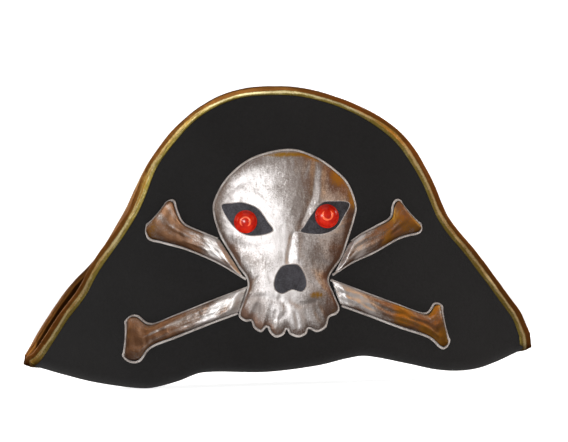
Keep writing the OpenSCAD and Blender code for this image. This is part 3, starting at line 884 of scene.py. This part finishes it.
def stitchBand(name, line, width, height, lift, shift=0.0):
    # satin stitch: a low round band whose top is ridged by its threads
    total = line.length[-1]
    count = int(total / emblem["stitchPitch"] * 4)

    def place(u, v):
        if line.closed and u > 0.99999:
            u = 0.0
        x, z = line.at(u)
        lx, lz = line.leftAt(u)
        ridge = 1 + 0.1 * math.cos(2 * math.pi * u * count / 4)
        jitter = 1 + 0.05 * noise.noise(Vector((u * total / 1.1, 3, 7)))
        a = ringAngle(v)
        side = math.cos(a) * width / 2 * jitter
        top = math.sin(a)
        h = lift(x, z) + (height * top * ridge if top > 0 else 0.05 * top)
        return onFlap(x + lx * (side + shift), z + lz * (side + shift), h)
    return shapedGrid(name, count, emblem["stitchSides"], place, (total * mm, 0.004), fill=not line.closed)


skullStitch = stitchBand("skullStitch", skullEdge, emblem["stitchWidth"], emblem["stitchHeight"],
                         lambda x, z: 0.15, shift=-emblem["stitchInset"])
finishSoft(skullStitch, satinThread, "satin_thread", "skull_border")


# Bones, each from its upper to its lower side
def boneCentre(i, k, t):
    ends = []
    for side in boneSides[i]:
        p = side.at(max(k, 0))
        if k < 0:
            q = side.at(0.04)
            p = tuple(m + (m - n) * -k / 0.04 for m, n in zip(p, q))
        ends.append(p)
    a, b = ends
    return a[0] + (b[0] - a[0]) * t, a[1] + (b[1] - a[1]) * t


boneSides = [(Line(upper, False), Line(lower, False)) for upper, lower in bones]


def bonePlace(i, k, t):
    # k runs from the skull to the knuckle, t from the upper to the lower side
    x, z = boneCentre(i, k, t)
    if k > 0.8:
        # the knuckle's lobes swell and turn round, and its end is drawn in between them
        late = max(k - 0.93, 0) / 0.07
        t = 0.5 + (t - 0.5) * (1 + 0.06 * smoothStep(0.8, 0.92, k) - 0.2 * late ** 2)
        x, z = boneCentre(i, k, t)
        ax, az = boneCentre(i, 0.8, t)
        w = math.hypot(x - ax, z - az) or 1
        dent = 1.5 * (1 - (2 * t - 1) ** 2) * ((k - 0.8) / 0.2) ** 2
        x, z = x - (x - ax) / w * dent, z - (z - az) / w * dent
    return x, z


def boneHeight(i, k, t):
    x, z = bonePlace(i, k, t)
    s = abs(2 * t - 1)
    across = (1 - s ** 3.2) ** 0.7
    end = (1 - smoothStep(0.9, 1.0, k) ** 3) * (0.2 + 0.8 * smoothStep(-0.03, 0.06, k))
    run = k * boneSides[i][0].length[-1]
    drawn = noise.noise(Vector((run / 13, t * 5.5, 20.0 + i)))
    cross = noise.noise(Vector((run / 5.2 + t * 1.4, t * 1.6, 30.0 + i)))
    rough = (0.75 * drawn + 0.45 * cross) * (1 - s ** 6)
    return max(0.5 + (emblem["bonePad"] + rough) * across * end, 0.45)


def bonePaintedReflection(i, k, t):
    # painted reflection: brown towards the knuckle, with a painted highlight band across it near the skull and
    # painted amber reflection, strongest towards the knuckle on the last two bones
    slow = noise.noise(Vector((k * 5, t * 1.5, 40.0 + i)))
    streak = noise.noise(Vector((k * 3, t * 6, 50.0 + i)))
    # painted highlight band across the bone near the skull
    band = math.exp(-((k - 0.2 - 0.14 * (t - 0.5)) / 0.07) ** 2) + 0.8 * math.exp(-((k - 0.03) / 0.05) ** 2)
    far = smoothStep(0.3, 0.6, k)
    return (0.75 + 0.3 * far - 0.9 * band - 0.5 * streak,
            0.42 + 0.4 * far - 0.9 * band - 0.7 * streak + 0.12 * smoothStep(0.7, 0.95, abs(2 * t - 1)),
            0.12 + (0.55 if i > 1 else 0.12) * far + 0.7 * slow)


def boneSlab(name, i, columns, rows, trim, over, under, tinting=None):
    upper, lower = boneSides[i]

    def spot(u, v):
        t, top = outAndBack(v)
        k = emblem["boneStart"] + (emblem["boneEnd"] - emblem["boneStart"]) * u
        wide = math.dist(upper.at(max(k, 0)), lower.at(max(k, 0)))
        return k, trim / wide + t * (1 - 2 * trim / wide), top

    def place(u, v):
        k, t, top = spot(u, v)
        x, z = bonePlace(i, k, t)
        return onFlap(x, z, over(k, t) if top else under(k, t))

    def wear(u, v):
        return tinting(i, *spot(u, v)[:2])
    return shapedGrid(name, columns, rows * 2 + 1, place, (0.1, 0.06), tone=wear if tinting else None)


def addBone(i):
    word = str(i + 1)
    node = "bone_" + word

    def over(k, t):
        return boneHeight(i, k, t)

    cover = boneSlab("boneCover" + word, i, 130, 30, 0.9 + emblem["stitchInset"], over,
                     lambda k, t: over(k, t) - emblem["cover"] * 0.7, bonePaintedReflection)
    finishSoft(cover, boneLame, "silver_lame", node + "_cover")
    pad = boneSlab("boneWadding" + word, i, 60, 14, 2.4 + emblem["stitchInset"],
                   lambda k, t: max(over(k, t) - emblem["cover"] - 0.6, 0.35), lambda k, t: 0.15)
    finishSoft(pad, wadding, "wadding", node + "_padding")
    steps = 26
    spans = [emblem["boneStart"] + (1 - emblem["boneStart"]) * k / steps for k in range(steps + 1)]
    ring = [bonePlace(i, k, 0) for k in spans]
    ring += [bonePlace(i, 1, t / 8) for t in range(1, 8)]
    ring += [bonePlace(i, k, 1) for k in reversed(spans)]
    edging = stitchBand("boneStitch" + word, Line(ring, False, 6), emblem["stitchWidth"] * 0.9,
                        emblem["stitchHeight"], lambda x, z: 0.15,
                        shift=emblem["stitchInset"] * (1 if i < 2 else -1))
    finishSoft(edging, satinThread, "satin_thread", node + "_border")


for i in range(len(bones)):
    addBone(i)
print("bones made")

# Eyes: a moulded dome on a flange, with a raised open ring, a post and a lock washer; the ring stands for the
# rim inside the dome, and its lighter red and open arc are a painted highlight of that rim's glint
eye = dict(left=(45.8, 131.4), right=(-22.4, 128.6), radius=10.4, flange=1.2, dome=4.8, post=2.5,
           washer=9, ringRadius=4.2, ringWire=0.85)

# Dark patches of the eyes and the nose, each with a fine pale edge that is a painted highlight, standing for
# light caught on the lamé's cut edge
patch = dict(lift=0.35, highlightEdgeWidth=0.8, highlightEdgeHeight=0.35)
for name, points, centre, node in (
        ("eyePatchLeft", leftPatchLine, eye["left"], "eye_patch_left"),
        ("eyePatchRight", rightPatchLine, eye["right"], "eye_patch_right"),
        ("nosePatch", noseLine, (13, 79), "nose_patch")):
    line = Line(points, True)
    made = radialSlab(name, line, 140, 16, centre, 0.2,
                      lambda x, z, s: skullHeight(x, z) + patch["lift"],
                      lambda x, z, s: skullHeight(x, z) + 0.08)
    finishSoft(made, darkPatch, "dark_patch", node)
    # pale thread edge: a painted highlight along the patch's rim
    edging = stitchBand(name + "Stitch", line, patch["highlightEdgeWidth"], patch["highlightEdgeHeight"],
                        lambda x, z: skullHeight(x, z) + 0.1)
    finishSoft(edging, satinThread, "satin_thread")


def eyeSpot(centre):
    # where an eye sits, with its Z square to the flap, and how far that is off the felt
    x, z = centre
    foot = onFlap(x, z, 0)
    up = (onFlap(x, z, 10) - foot).normalized()
    side = Vector((1, 0, 0))
    side = (side - up * side.dot(up)).normalized()
    level = max(skullHeight(x + 7 * math.cos(a), z + 7 * math.sin(a)) for a in (0, 1, 2, 3, 4, 5)) + 0.55
    turn = Matrix((side, up.cross(side), up)).transposed().to_4x4()
    return Matrix.Translation((foot + up * level) * mm) @ turn @ Matrix.Scale(mm, 4), level


def spunPiece(name, outline, place, steps=72):
    # a lathe-turned piece from points (radius, height)
    bm = bmesh.new()
    verts = [bm.verts.new((r, 0, h)) for r, h in outline]
    edges = [bm.edges.new(pair) for pair in zip(verts, verts[1:])]
    bmesh.ops.spin(bm, geom=verts + edges, cent=(0, 0, 0), axis=(0, 0, 1), angle=2 * math.pi,
                   steps=steps, use_merge=True)
    bmesh.ops.remove_doubles(bm, verts=bm.verts[:], dist=1e-4)
    bmesh.ops.recalc_face_normals(bm, faces=bm.faces[:])
    bmesh.ops.transform(bm, matrix=place, verts=bm.verts[:])
    return finishPiece(name, bm)


def addEye(word, centre, size, ringFrom, ringTo, ringAt):
    place, level = eyeSpot(centre)
    r, f, d = eye["radius"] * size, eye["flange"], eye["dome"]
    outline = [(0, -0.2), (r - 0.3, -0.2), (r, 0.1), (r, f - 0.25), (r - 0.3, f)]
    outline += [((r - 1.1) * math.cos(a), f + d * math.sin(a)) for a in
                [math.pi / 2 * k / 14 for k in range(14)]] + [(0, f + d)]
    dome = spunPiece("eyeDome" + word, outline, place)
    finishRigid(dome, redLens, "red_plastic", "front_flap", "eye_dome_" + word.lower())

    # the ring's open arc follows a glint: a painted highlight
    def onDome(u, v):
        a = ringFrom + (ringTo - ringFrom) * u
        b = ringAngle(v)
        taper = min(1, 0.25 + 6 * u, 0.25 + 6 * (1 - u))
        wide = eye["ringWire"] * (1 + 0.12 * math.cos(3 * a)) * taper
        q = eye["ringRadius"] + wide * math.cos(b)
        x, y = q * math.cos(a) + ringAt[0], q * math.sin(a) + ringAt[1]
        s = min(math.hypot(x, y) / (r - 1.1), 1)
        return Vector((x, y, f + d * math.sqrt(1 - s * s) + 0.45 * wide * math.sin(b)))

    ring = shapedGrid("eyeRing" + word, 60, 12, onDome, (0.03, 0.005))
    ring.data.transform(Matrix.Scale(1 / mm, 4))
    ring.data.transform(place)
    finishRigid(ring, redRingGlint, "red_plastic", "front_flap")
    liningFace = -level - fullThick
    post = spunPiece("eyePost" + word, [(0, -0.1), (eye["post"], -0.1), (eye["post"], liningFace - 3.6),
                                        (eye["post"] - 0.5, liningFace - 4.1), (0, liningFace - 4.1)],
                     place, 32)
    finishRigid(post, redLens, "red_plastic", "front_flap")
    back = liningFace - 1.3
    w, p = eye["washer"], eye["post"] + 0.05
    outline = [(p, back), (w - 0.4, back), (w, back - 0.4), (w, back - 0.9), (w - 0.4, back - 1.2)]
    outline += [(p + 2.4, back - 1.3), (p + 1.5, back - 2.2), (p, back - 2.2), (p, back)]
    washer = spunPiece("eyeWasher" + word, outline, place)
    finishRigid(washer, blackPlastic, "washer_plastic", "front_flap", "eye_washer_" + word.lower())


addEye("Left", eye["left"], 1.0, math.radians(130), math.radians(415), (-0.4, 0.6))
addEye("Right", eye["right"], 0.96, math.radians(-60), math.radians(235), (0.2, -0.8))
print("patches and eyes made")

# Crown: an oval side with a domed top, its sweatband and the tape on its seam
crown = dict(halfWidth=83.5, halfLength=104.5, waistWidth=0.985, waistLength=0.955, topShare=0.83,
             sideHeight=85, domeHeight=27, felt=2.0, bandHeight=32, band=1.2, steps=200)


def rimAt(x):
    return heightAt(foldLine, x) + 1.5


def crownShare(z):
    # how wide and how long the crown is at a height, as parts of its rim
    waist = crown["sideHeight"] * 0.45
    if z < waist:
        t = max(z, 0) / waist
        return 1 - (1 - crown["waistWidth"]) * t, 1 - (1 - crown["waistLength"]) * t
    t = min((z - waist) / (crown["sideHeight"] - waist), 1)
    bow = 0.25 * t * (1 - t)
    return (crown["waistWidth"] + (crown["topShare"] - crown["waistWidth"]) * (t - bow),
            crown["waistLength"] + (crown["topShare"] - crown["waistLength"]) * (t - bow))


def ovalPoint(u, z, grow, sway=0.0):
    a = ringAngle(u)
    w, l = crownShare(z)
    soft = sway * noise.noise(Vector((2.2 * math.cos(a), 2.2 * math.sin(a), z / 40)))
    return Vector(((crown["halfWidth"] * w + grow + soft) * math.cos(a),
                   (crown["halfLength"] * l + grow + soft) * math.sin(a), z))


def ovalSlab(name, rows, bottom, top, outside, inside, sway=0.0, tuck=0.0, uvSize=(0.59, 0.2)):
    # a closed band round the head, up its outside and down its inside
    def place(u, v):
        t, outer = outAndBack(v)
        low = rimAt(crown["halfWidth"] * math.cos(ringAngle(u))) + bottom
        z = low + (top - low) * t
        seam = tuck * smoothStep(0.955, 1.0, t)
        return ovalPoint(u, z, (outside if outer else inside) - seam, sway * math.sin(math.pi * t))
    return shapedGrid(name, crown["steps"], rows * 2 + 1, place, uvSize, fill=False)


crownSide = ovalSlab("crownSide", 40, 0, crown["sideHeight"], 0, -crown["felt"], 1.0, 1.0)
finishRigid(crownSide, felt, "felt", "crown", "crown_side")


def domePoint(u, v):
    a = ringAngle(u)
    tilt = v * math.pi / 2
    w = math.cos(tilt) if v < 0.9999 else 0.0
    tuck = 1.0 * (1 - smoothStep(0.0, 0.05, v))
    sag = 1.4 * noise.noise(Vector((1.6 * w * math.cos(a), 1.6 * w * math.sin(a), 6.0))) * min(1, 4 * v)
    side, length = (crown[half] * crown["topShare"] - tuck for half in ("halfWidth", "halfLength"))
    return Vector((side * w * math.cos(a), length * w * math.sin(a),
                   crown["sideHeight"] + 0.2 + (crown["domeHeight"] + sag - 0.4) * math.sin(tilt)))


crownTop = shapedGrid("crownTop", crown["steps"], 40, domePoint, (0.5, 0.1), fill=False)
topWall = crownTop.modifiers.new("felt", "SOLIDIFY")
topWall.thickness, topWall.offset = crown["felt"] * mm, -1
finishRigid(crownTop, felt, "felt", "crown", "crown_top")

sweatband = ovalSlab("sweatbandRibbon", 20, 0.3, crown["bandHeight"], -crown["felt"] - 0.3,
                     -crown["felt"] - 0.3 - crown["band"], 0.0, 0.4, (0.57, 0.08))
finishRigid(sweatband, grosgrain, "sweatband", "crown", "sweatband")


def tapePoint(u, v):
    a, b = ringAngle(u), ringAngle(v)
    low = rimAt(crown["halfWidth"] * math.cos(a)) - 0.95
    swell = 1 + 0.12 * noise.noise(Vector((a * 14, 2, 5)))
    out = -1.7 + 1.3 * math.cos(b) * swell
    return Vector(((crown["halfWidth"] + out) * math.cos(a), (crown["halfLength"] + out) * math.sin(a),
                   low + 0.55 * math.sin(b)))


seamTape = shapedGrid("seamTape", 240, 12, tapePoint, (0.57, 0.008), fill=False)
finishRigid(seamTape, grosgrain, "tape", "crown", "crown_seam_tape")
print("crown made")


# Area of each soft sheet, printed beside the flat size it was cut to; the bone covers' and patches' areas are
# computed and not used
def cutArea(piece, closed=True):
    bm = bmesh.new()
    bm.from_mesh(piece.data)
    area = sum(face.calc_area() for face in bm.faces)
    bm.free()
    return area / 2 if closed else area


declared = [
    (frontLayers[0], (0.47, 0.36), True), (rearLayers[0], (0.47, 0.36), True),
    (frontLayers[2], (0.46, 0.25), True), (rearLayers[2], (0.46, 0.25), True),
    (frontBinding, (0.72, 0.028), False), (rearBinding, (0.72, 0.028), False),
    (skullCover, (0.14, 0.18), True), (crownSide, (0.6, 0.09), True), (crownTop, (0.145, 0.18), False),
    (sweatband, (0.58, 0.034), True),
]
for piece, flat, closed in declared:
    area = cutArea(piece, closed)
    print("sheet", piece.name, flat, round(area, 4))
    min(area * 0.98, flat[0] * flat[1])
for piece in bpy.data.objects:
    if piece.name.startswith("boneCover"):
        min(cutArea(piece) * 0.98, 0.005)
    if piece.name in ("eyePatchLeft", "eyePatchRight", "nosePatch"):
        min(cutArea(piece) * 0.98, 0.0014)

# Floor, lights and camera
studio = dict(floorHeight=-0.0133, floorGlow=0.93, flat=11, rise=5, worldStrength=1.0)
bm = bmesh.new()
profile = [bm.verts.new((0, 0, 0)), bm.verts.new((studio["flat"], 0, 0))]
profile += [bm.verts.new((studio["flat"] + studio["rise"] * math.sin(a), 0, studio["rise"] * (1 - math.cos(a))))
            for a in [math.pi / 2 * k / 16 for k in range(1, 17)]]
edges = [bm.edges.new(pair) for pair in zip(profile, profile[1:])]
bmesh.ops.spin(bm, geom=profile + edges, cent=(0, 0, 0), axis=(0, 0, 1), angle=2 * math.pi,
               steps=64, use_merge=True)
bmesh.ops.remove_doubles(bm, verts=bm.verts[:], dist=1e-4)
bmesh.ops.translate(bm, verts=bm.verts[:], vec=(0, 0, studio["floorHeight"]))
floor = finishPiece("floor", bm)  # flat paper that turns up far away on all sides


def floorLook(place, flat):
    tone = place.noise(2, 2)
    return {"Base Color": tone.between(0.2, 0.8).blendColours((0.8, 0.8, 0.8), (0.84, 0.84, 0.84)),
            "Roughness": 0.75 + 0.1 * tone}


paper = makeMaterial("palePaper", floorLook, Emission_Color=(1, 1, 1, 1), Emission_Strength=studio["floorGlow"])
floor.data.materials.append(paper)
floor.visible_glossy = False

world = bpy.data.worlds.new("studioRoom")
bpy.context.scene.world = world
world.use_nodes = True
sky = world.node_tree.nodes["Background"]
sky.inputs["Strength"].default_value = studio["worldStrength"]
start = Wire(world.node_tree, None)
direction = start.node("ShaderNodeTexCoord", {}, {}, 0)
facing = direction.node("ShaderNodeSeparateXYZ", {}, {"Vector": direction}, 1) * -1
blotch = direction.noise(3.0, 3, 0.6, 0.5)
walls = (facing * 0.5 + blotch).node("ShaderNodeValToRGB", {"stops": [
    (0.25, (0.03, 0.015, 0.01)), (0.62, (0.085, 0.05, 0.035)), (0.82, (0.2, 0.17, 0.155)),
    (1.0, (0.36, 0.345, 0.335))]},
    {"Fac": facing * 0.5 + blotch})
world.node_tree.links.new(walls.socket, sky.inputs["Color"])


def addLight(name, azimuth, elevation, distance, size, power, colour=(1, 1, 1)):
    data = bpy.data.lights.new(name, "AREA")
    data.shape, data.size, data.size_y = "RECTANGLE", size[0], size[1]
    data.energy, data.color = power, colour
    light = bpy.data.objects.new(name, data)
    a, e = math.radians(azimuth), math.radians(elevation)
    spot = Vector((math.sin(a) * math.cos(e), -math.cos(a) * math.cos(e), math.sin(e))) * distance
    light.location = spot + Vector((0, 0, 0.12))
    light.rotation_euler = (-spot).to_track_quat("-Z", "Y").to_euler()
    bpy.context.collection.objects.link(light)


addLight("keyLeft", -17, 13, 2.6, (0.5, 0.5), 20)
addLight("overhead", 0, 72, 2.4, (1.8, 1.8), 6)
addLight("woodRight", 58, 30, 2.2, (0.9, 0.9), 4.5, (1.0, 0.45, 0.08))
addLight("sideLeft", -80, 24, 2.4, (0.7, 0.9), 5, (1.0, 0.8, 0.62))
addLight("rearKey", 165, 24, 2.6, (0.7, 0.7), 22)
addLight("rearSide", -125, 22, 2.6, (0.8, 0.8), 12)
addLight("sideRight", 105, 22, 2.6, (0.8, 0.8), 10)

camera = bpy.data.objects.new("camera", bpy.data.cameras.new("camera"))
bpy.context.collection.objects.link(camera)
view = dict(aim=(0.0101, -0.095, 0.1292), distance=6.0, elevation=0.0, roll=1.8, width=0.4905, sensor=36)
aim = Vector(view["aim"])
e = math.radians(view["elevation"])
camera.location = aim + Vector((0, -math.cos(e), math.sin(e))) * view["distance"]
facing = (aim - camera.location).to_track_quat("-Z", "Y").to_matrix().to_4x4()
turned = facing @ Matrix.Rotation(math.radians(-view["roll"]), 4, "Z")
camera.rotation_euler = turned.to_euler()
camera.data.sensor_width = view["sensor"]
camera.data.lens = view["sensor"] * view["distance"] / view["width"]
camera.data.clip_end = 400
bpy.context.scene.camera = camera
bpy.context.scene.view_settings.view_transform = "Standard"
print("studio set")
